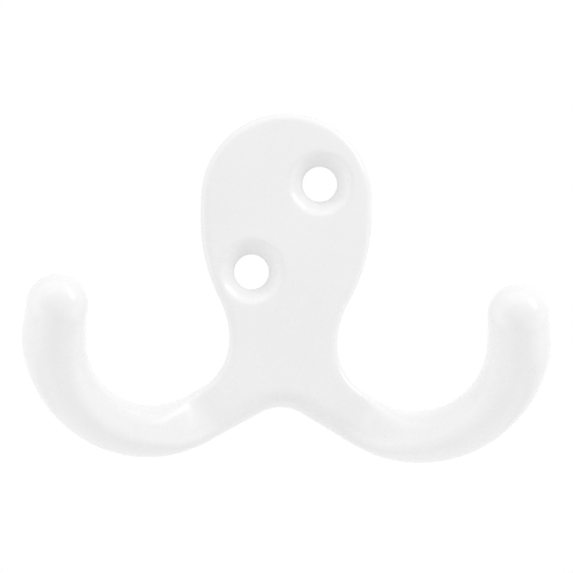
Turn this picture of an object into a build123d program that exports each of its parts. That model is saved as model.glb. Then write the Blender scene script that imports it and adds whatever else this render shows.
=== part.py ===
from build123d import *
from math import atan2, cos, degrees, hypot, radians, sin, tan
import os

# A double coat hook: one zinc casting with a pear-shaped wall plate and two arms that sweep out and up.
# Sizes are in millimetres. The back of the plate lies in the plane y = 0, and -Y points away from the wall.
# The origin is midway between the two screw holes.

# Wall plate
plate_width = 25.2
plate_thickness = 4.0
plate_top = 16.9
flank_start = 1.6
bulge_radius = 26.0
neck_width = 15.9
neck_drop = 16.8
front_edge_radius = 1.1
back_edge_chamfer = 0.3

# Screw holes
hole_spacing_x = 9.8
hole_spacing_z = 13.2
screw_hole_diameter = 5.2
countersink_diameter = 9.0
countersink_angle = 90.0
countersink_lip = 0.35

# Shoulders, and the notch between them
throat_radius = 8.4
shoulder_angle = 30.0
shoulder_width = 7.4
notch_radius = 6.0
notch_edge_radius = 3.0

# Arms
overall_width = 75.2
shoulder_run = 2.3
arm_side_width = 9.1
arm_end_angle = 98.0
tip_run = 2.7
tip_diameter = 8.7
arm_lean = 39.0
lean_lead_in = 8.0
arm_rounding_length = 12.0
side_flat = 0.2
arm_stations = 28

# Worked out from the sizes above
head_radius = plate_width / 2
flank_shift = (plate_width - neck_width) / 2
flank_height = flank_start + neck_drop
flank_turn = 2 * degrees(atan2(flank_shift, flank_height))
waist_radius = flank_height / sin(radians(flank_turn)) - bulge_radius
lean_slope = tan(radians(arm_lean))
outward = Vector(cos(radians(shoulder_angle)), -sin(radians(shoulder_angle)))
across = Vector(outward.Y, -outward.X)


def ease(share):
    """Smooth step from 0 to 1."""
    share = min(share, 1)
    return share * share * (3 - 2 * share)


with BuildPart() as double_hook:
    # Plate with its shoulders, each cut off square to its arm
    with BuildSketch(Plane.XZ):
        with BuildLine():
            head = JernArc((0, plate_top), (1, 0), head_radius, -90)
            flank = Line(head @ 1, (head_radius, flank_start))
            bulge = JernArc(flank @ 1, flank % 1, bulge_radius, -flank_turn)
            waist = JernArc(bulge @ 1, bulge % 1, waist_radius, flank_turn)
            throat = JernArc(waist @ 1, waist % 1, throat_radius, 90 - shoulder_angle)
            shoulder = Line(throat @ 1, throat @ 1 + across * shoulder_width)
            notch_run = ((shoulder @ 1).X - notch_radius * sin(radians(shoulder_angle))) / outward.X
            notch_side = Line(shoulder @ 1, shoulder @ 1 - outward * notch_run)
            JernArc(notch_side @ 1, notch_side % 1, notch_radius, shoulder_angle)
            mirror(about=Plane.YZ)
        make_face()
    extrude(amount=plate_thickness)

    # Rounded front edges, fuller over the notch, and a fine chamfer against the wall
    right_axis = Axis((0, 0, 0), (outward.X, 0, outward.Y))
    left_axis = Axis((0, 0, 0), (-outward.X, 0, outward.Y))
    shoulder_faces = double_hook.faces().filter_by(right_axis) + double_hook.faces().filter_by(left_axis)
    front_rim = double_hook.edges().group_by(Axis.Y)[0] - shoulder_faces.edges()
    back_rim = double_hook.edges().group_by(Axis.Y)[-1] - shoulder_faces.edges()
    notch_rim = front_rim.filter_by(lambda edge: edge.center().Z < (throat @ 1).Y)
    fillet(front_rim - notch_rim, front_edge_radius)
    fillet(notch_rim, notch_edge_radius)
    chamfer(double_hook.edges().filter_by(lambda edge: edge in back_rim), back_edge_chamfer)

    # Two countersunk screw holes on a slant, with eased mouths
    with Locations(Plane.XZ.offset(plate_thickness)):
        with Locations((hole_spacing_x / 2, hole_spacing_z / 2), (-hole_spacing_x / 2, -hole_spacing_z / 2)):
            CounterSinkHole(
                screw_hole_diameter / 2,
                countersink_diameter / 2,
                counter_sink_angle=countersink_angle,
            )
    front_face = double_hook.faces().filter_by(Axis.Y).sort_by(Axis.Y)[0]
    chamfer(front_face.inner_wires().edges(), countersink_lip)

    # Middle line of the right arm as seen from the front: out of the shoulder, round the bend and up
    bend_start = shoulder @ 0.5 + outward * shoulder_run
    bend_reach = overall_width / 2 - arm_side_width / 2 - bend_start.X
    bend_radius = bend_reach / (1 + sin(radians(shoulder_angle)))
    side_length = shoulder_run + bend_radius * radians(shoulder_angle + 90)
    with BuildLine(mode=Mode.PRIVATE) as arm_front:
        run = Line(shoulder @ 0.5, bend_start)
        bend = JernArc(run @ 1, run % 1, bend_radius, shoulder_angle + arm_end_angle)
        Line(bend @ 1, bend @ 1 + (bend % 1) * tip_run)
    middle_line = arm_front.wire()
    arm_length = middle_line.length
    tip_neck = tip_diameter - side_flat

    # The arm starts as the plate's own shoulder face, leans away from the wall and grows round
    add(double_hook.faces().filter_by(right_axis).sort_by(Axis.X)[-1])
    for station in range(1, arm_stations + 1):
        length = arm_length * station / arm_stations
        lead = hypot(length, lean_lead_in)
        depth = plate_thickness / 2 + lean_slope * (lead - lean_lead_in)
        slope = lean_slope * length / lead
        spot = middle_line @ (station / arm_stations)
        heading = middle_line % (station / arm_stations)
        section_plane = Plane(
            (spot.X, -depth, spot.Y),
            x_dir=(-heading.Y, 0, heading.X),
            z_dir=(heading.X, -slope, heading.Y),
        )
        if length < side_length:
            width = shoulder_width + (arm_side_width - shoulder_width) * (length / side_length) ** 2
        else:
            tip_share = (length - side_length) / (arm_length - side_length)
            width = arm_side_width + (tip_neck - arm_side_width) * tip_share
        rounding = ease(length / arm_rounding_length)
        thickness = plate_thickness + (width - plate_thickness) * rounding
        round_radius = (thickness - side_flat) / 2
        root_radii = [front_edge_radius, notch_edge_radius, back_edge_chamfer, back_edge_chamfer]
        radii = [radius + (round_radius - radius) * rounding for radius in root_radii]
        right, front = width / 2, thickness / 2
        with BuildSketch(section_plane):
            with BuildLine():
                FilletPolyline(
                    (right, front), (-right, front), (-right, -front), (right, -front), radius=radii, close=True
                )
            make_face()
    arm = loft(ruled=True)
    with Locations(section_plane):
        tip = Sphere(tip_diameter / 2)
    mirror([arm, tip], about=Plane.YZ)

os.makedirs("parts", exist_ok=True)
double_hook.part.label = "double_hook"
export_step(double_hook.part, "parts/double_hook.step")
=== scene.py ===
import math

import bpy
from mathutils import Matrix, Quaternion, Vector

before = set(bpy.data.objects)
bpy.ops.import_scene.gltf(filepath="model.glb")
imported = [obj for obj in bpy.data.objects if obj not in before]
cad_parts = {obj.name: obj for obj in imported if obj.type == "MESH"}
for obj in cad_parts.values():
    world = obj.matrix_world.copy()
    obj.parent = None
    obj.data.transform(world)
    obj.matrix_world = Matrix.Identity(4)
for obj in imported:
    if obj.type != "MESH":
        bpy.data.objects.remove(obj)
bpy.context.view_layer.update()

MM = 0.001

# Camera: a long lens square to the wall plate, a touch to its left and rolled a little
PHOTO_WIDTH_PX = 573
FOCAL_LENGTH_PX = 3437.0
SENSOR_WIDTH_MM = 36.0
CAMERA_CLIP_START = 1 * MM
CAMERA_DISTANCE = 0.5
CAMERA_AZIMUTH = math.radians(-1.5)
CAMERA_ELEVATION = math.radians(0.2)
CAMERA_ROLL = math.radians(1.3)
CAMERA_AIM = Vector((0.1, -10.0, -8.6)) * MM

# Studio: a pale floor below the hook and even white surroundings
FLOOR_DROP = 0.60
FLOOR_SIZE = 1.2
FLOOR_CLOUD_SCALE = 6.0
FLOOR_PALE = (0.83, 0.83, 0.82, 1.0)
FLOOR_PALER = (0.88, 0.88, 0.87, 1.0)
FLOOR_ROUGHNESS = 0.7
SURROUNDINGS_WHITE = (1.0, 1.0, 1.0, 1.0)
AMBIENT_STRENGTH = 0.75
BACKGROUND_STRENGTH = 1.0

# Soft lamps round the hook, with one strength for each kind. Places and sizes (width, height) are in metres
WINDOW_WATTS = 1.2
SOFTBOX_WATTS = 1.0
LEFT_CARD_WATTS = 0.6
LOW_CARD_WATTS = 0.4
UNDER_CARD_WATTS = 0.2
LAMPS = {
    "window_upper_right": {"at": (0.58, -0.25, 0.47), "size": (0.16, 0.42), "watts": WINDOW_WATTS},
    "softbox_above": {"at": (0.05, -0.25, 0.70), "size": (0.80, 0.80), "watts": SOFTBOX_WATTS},
    "card_upper_left": {"at": (-0.50, -0.25, 0.45), "size": (0.70, 0.70), "watts": LEFT_CARD_WATTS},
    "card_left": {"at": (-0.72, -0.14, -0.06), "size": (0.60, 0.60), "watts": LEFT_CARD_WATTS},
    "card_right": {"at": (0.74, -0.04, -0.22), "size": (0.60, 0.60), "watts": LOW_CARD_WATTS},
    "card_lower_left": {"at": (-0.45, -0.30, -0.45), "size": (0.60, 0.60), "watts": LOW_CARD_WATTS},
    "card_lower_right": {"at": (0.45, -0.30, -0.45), "size": (0.60, 0.60), "watts": LOW_CARD_WATTS},
    "card_below": {"at": (0.00, 0.15, -0.48), "size": (0.50, 0.50), "watts": UNDER_CARD_WATTS},
}

# White enamel on the casting
ENAMEL_WHITE = (0.902, 0.899, 0.900, 1.0)
ENAMEL_COOL = (0.872, 0.873, 0.882, 1.0)
ENAMEL_CLOUD_SCALE = 70.0
ENAMEL_IOR = 1.5
COAT_WEIGHT = 0.5
COAT_ROUGHNESS = 0.22
GLOSS_SCALE = 240.0
GLOSS_DETAIL = 2.0
GLOSS_RANGE = (0.22, 0.34)
ORANGE_PEEL_SCALE = 1100.0
ORANGE_PEEL_DETAIL = 1.0
ORANGE_PEEL_HEIGHT = 0.007 * MM
CASTING_WAVE_SCALE = 130.0
CASTING_WAVE_DETAIL = 0.0
CASTING_WAVE_HEIGHT = 0.05 * MM

# The paint flows into joins, which rounds the light over them within this reach
PAINT_FLOW_RADIUS = 1.2 * MM
PAINT_FLOW_SAMPLES = 8

# Clouds of tone, and the part of the noise's range that is spread over the full change
CLOUD_DETAIL = 3.0
NOISE_RANGE = {"From Min": 0.3, "From Max": 0.7}

# The Mix node's colour sockets, by number because its sockets of other kinds have the same names
MIX_COLOUR_A = 6
MIX_COLOUR_B = 7
MIX_COLOUR_RESULT = 2

# The casting's faces are joined over this gap, and edges that turn more than this stay crisp
JOIN_DISTANCE = 0.001 * MM
CRISP_ANGLE = math.radians(40.0)


def add_node(tree, kind, **values):
    """A new node with its settings and its unlinked inputs filled in."""
    node = tree.nodes.new(kind)
    for name, value in values.items():
        if name in node.inputs:
            node.inputs[name].default_value = value
        else:
            setattr(node, name, value)
    return node


def noise(tree, **values):
    """Soft cloudy noise over the surface, from 0 to 1."""
    place = add_node(tree, "ShaderNodeTexCoord")
    clouds = add_node(tree, "ShaderNodeTexNoise", **values)
    tree.links.new(place.outputs["Object"], clouds.inputs["Vector"])
    return clouds


def cloudy_tone():
    """A node group: a colour that drifts between two near tones in clouds of a given size."""
    group = bpy.data.node_groups.new("cloudy_tone", "ShaderNodeTree")
    group.interface.new_socket("Scale", in_out="INPUT", socket_type="NodeSocketFloat")
    group.interface.new_socket("Low Tone", in_out="INPUT", socket_type="NodeSocketColor")
    group.interface.new_socket("High Tone", in_out="INPUT", socket_type="NodeSocketColor")
    group.interface.new_socket("Tone", in_out="OUTPUT", socket_type="NodeSocketColor")
    given = group.nodes.new("NodeGroupInput")
    made = group.nodes.new("NodeGroupOutput")
    clouds = noise(group, Detail=CLOUD_DETAIL)
    ramp = add_node(group, "ShaderNodeMapRange", **NOISE_RANGE)
    mix = add_node(group, "ShaderNodeMix", data_type="RGBA")
    group.links.new(given.outputs["Scale"], clouds.inputs["Scale"])
    group.links.new(clouds.outputs["Fac"], ramp.inputs["Value"])
    group.links.new(ramp.outputs["Result"], mix.inputs["Factor"])
    group.links.new(given.outputs["Low Tone"], mix.inputs[MIX_COLOUR_A])
    group.links.new(given.outputs["High Tone"], mix.inputs[MIX_COLOUR_B])
    group.links.new(mix.outputs[MIX_COLOUR_RESULT], made.inputs["Tone"])
    return group


def painted(name, clouds, scale, low, high):
    """A new material whose base colour is the cloudy tone, and its shader."""
    material = bpy.data.materials.new(name)
    material.use_nodes = True
    tree = material.node_tree
    shader = tree.nodes["Principled BSDF"]
    tone = add_node(tree, "ShaderNodeGroup", node_tree=clouds)
    tone.inputs["Scale"].default_value = scale
    tone.inputs["Low Tone"].default_value = low
    tone.inputs["High Tone"].default_value = high
    tree.links.new(tone.outputs["Tone"], shader.inputs["Base Color"])
    return material, shader


def white_enamel(clouds):
    """Gloss white paint on a zinc casting: drifting tone, uneven gloss, orange peel and casting waves."""
    material, paint = painted("white_enamel", clouds, ENAMEL_CLOUD_SCALE, ENAMEL_COOL, ENAMEL_WHITE)
    paint.inputs["IOR"].default_value = ENAMEL_IOR
    paint.inputs["Coat Weight"].default_value = COAT_WEIGHT
    paint.inputs["Coat Roughness"].default_value = COAT_ROUGHNESS
    tree = material.node_tree

    smoothest, dullest = GLOSS_RANGE
    patches = noise(tree, Scale=GLOSS_SCALE, Detail=GLOSS_DETAIL)
    gloss = add_node(tree, "ShaderNodeMapRange", **NOISE_RANGE, **{"To Min": smoothest, "To Max": dullest})
    tree.links.new(patches.outputs["Fac"], gloss.inputs["Value"])
    tree.links.new(gloss.outputs["Result"], paint.inputs["Roughness"])

    flow = add_node(tree, "ShaderNodeBevel", samples=PAINT_FLOW_SAMPLES, Radius=PAINT_FLOW_RADIUS)
    swells = noise(tree, Scale=CASTING_WAVE_SCALE, Detail=CASTING_WAVE_DETAIL)
    waves = add_node(tree, "ShaderNodeBump", Distance=CASTING_WAVE_HEIGHT)
    tree.links.new(flow.outputs["Normal"], waves.inputs["Normal"])
    tree.links.new(swells.outputs["Fac"], waves.inputs["Height"])

    pimples = noise(tree, Scale=ORANGE_PEEL_SCALE, Detail=ORANGE_PEEL_DETAIL)
    peel = add_node(tree, "ShaderNodeBump", Distance=ORANGE_PEEL_HEIGHT)
    tree.links.new(waves.outputs["Normal"], peel.inputs["Normal"])
    tree.links.new(pimples.outputs["Fac"], peel.inputs["Height"])
    tree.links.new(peel.outputs["Normal"], paint.inputs["Normal"])
    return material


def flowing_skin(hook):
    """Shades the casting as one skin, with a crisp edge only where it is cut square."""
    hook.modifiers.new("joined_faces", "WELD").merge_threshold = JOIN_DISTANCE
    hook.modifiers.new("crisp_edges", "EDGE_SPLIT").split_angle = CRISP_ANGLE
    hook.modifiers.new("even_shading", "WEIGHTED_NORMAL").keep_sharp = True


def pale_floor(clouds):
    """A plain pale floor below the hook, out of the front view."""
    material, surface = painted("pale_floor", clouds, FLOOR_CLOUD_SCALE, FLOOR_PALE, FLOOR_PALER)
    surface.inputs["Roughness"].default_value = FLOOR_ROUGHNESS
    bpy.ops.mesh.primitive_plane_add(size=FLOOR_SIZE, location=(0, 0, -FLOOR_DROP))
    floor = bpy.context.object
    floor.name = "floor"
    floor.data.materials.append(material)


def white_surroundings():
    """A world that looks white to the camera and in reflections, and lights the hook at a plain level."""
    world = bpy.data.worlds.new("white_surroundings")
    bpy.context.scene.world = world
    world.use_nodes = True
    tree = world.node_tree
    background = tree.nodes["Background"]
    background.inputs["Color"].default_value = SURROUNDINGS_WHITE
    ray = add_node(tree, "ShaderNodeLightPath")
    seen_or_mirrored = add_node(tree, "ShaderNodeMath", operation="ADD")
    tree.links.new(ray.outputs["Is Camera Ray"], seen_or_mirrored.inputs[0])
    tree.links.new(ray.outputs["Is Glossy Ray"], seen_or_mirrored.inputs[1])
    seen = add_node(tree, "ShaderNodeMath", operation="ADD", use_clamp=True)
    tree.links.new(seen_or_mirrored.outputs["Value"], seen.inputs[0])
    tree.links.new(ray.outputs["Is Transmission Ray"], seen.inputs[1])
    strength = add_node(
        tree, "ShaderNodeMapRange", **{"To Min": AMBIENT_STRENGTH, "To Max": BACKGROUND_STRENGTH}
    )
    tree.links.new(seen.outputs["Value"], strength.inputs["Value"])
    tree.links.new(strength.outputs["Result"], background.inputs["Strength"])


def soft_lamps():
    """Softboxes of a given width and height, each turned to the middle of the hook."""
    for name, lamp in LAMPS.items():
        light = bpy.data.lights.new(name, "AREA")
        light.shape = "RECTANGLE"
        light.size, light.size_y = lamp["size"]
        light.energy = lamp["watts"]
        stand = bpy.data.objects.new(name, light)
        bpy.context.collection.objects.link(stand)
        stand.location = lamp["at"]
        stand.rotation_euler = (CAMERA_AIM - stand.location).to_track_quat("-Z", "Y").to_euler()


def photo_camera():
    """The photograph's viewpoint."""
    lens = bpy.data.cameras.new("photo_camera")
    lens.sensor_width = SENSOR_WIDTH_MM
    lens.lens = FOCAL_LENGTH_PX / PHOTO_WIDTH_PX * SENSOR_WIDTH_MM
    lens.clip_start = CAMERA_CLIP_START
    camera = bpy.data.objects.new("photo_camera", lens)
    bpy.context.collection.objects.link(camera)
    forward = Vector((
        -math.sin(CAMERA_AZIMUTH) * math.cos(CAMERA_ELEVATION),
        math.cos(CAMERA_AZIMUTH) * math.cos(CAMERA_ELEVATION),
        -math.sin(CAMERA_ELEVATION),
    ))
    roll = Quaternion((0, 0, 1), CAMERA_ROLL)
    camera.location = CAMERA_AIM - forward * CAMERA_DISTANCE
    camera.rotation_euler = (forward.to_track_quat("-Z", "Y") @ roll).to_euler()
    bpy.context.scene.camera = camera


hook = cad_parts["double_hook"]
clouds = cloudy_tone()
hook.data.materials.clear()
hook.data.materials.append(white_enamel(clouds))
flowing_skin(hook)

pale_floor(clouds)
white_surroundings()
soft_lamps()
photo_camera()
bpy.context.scene.view_settings.view_transform = "Standard"
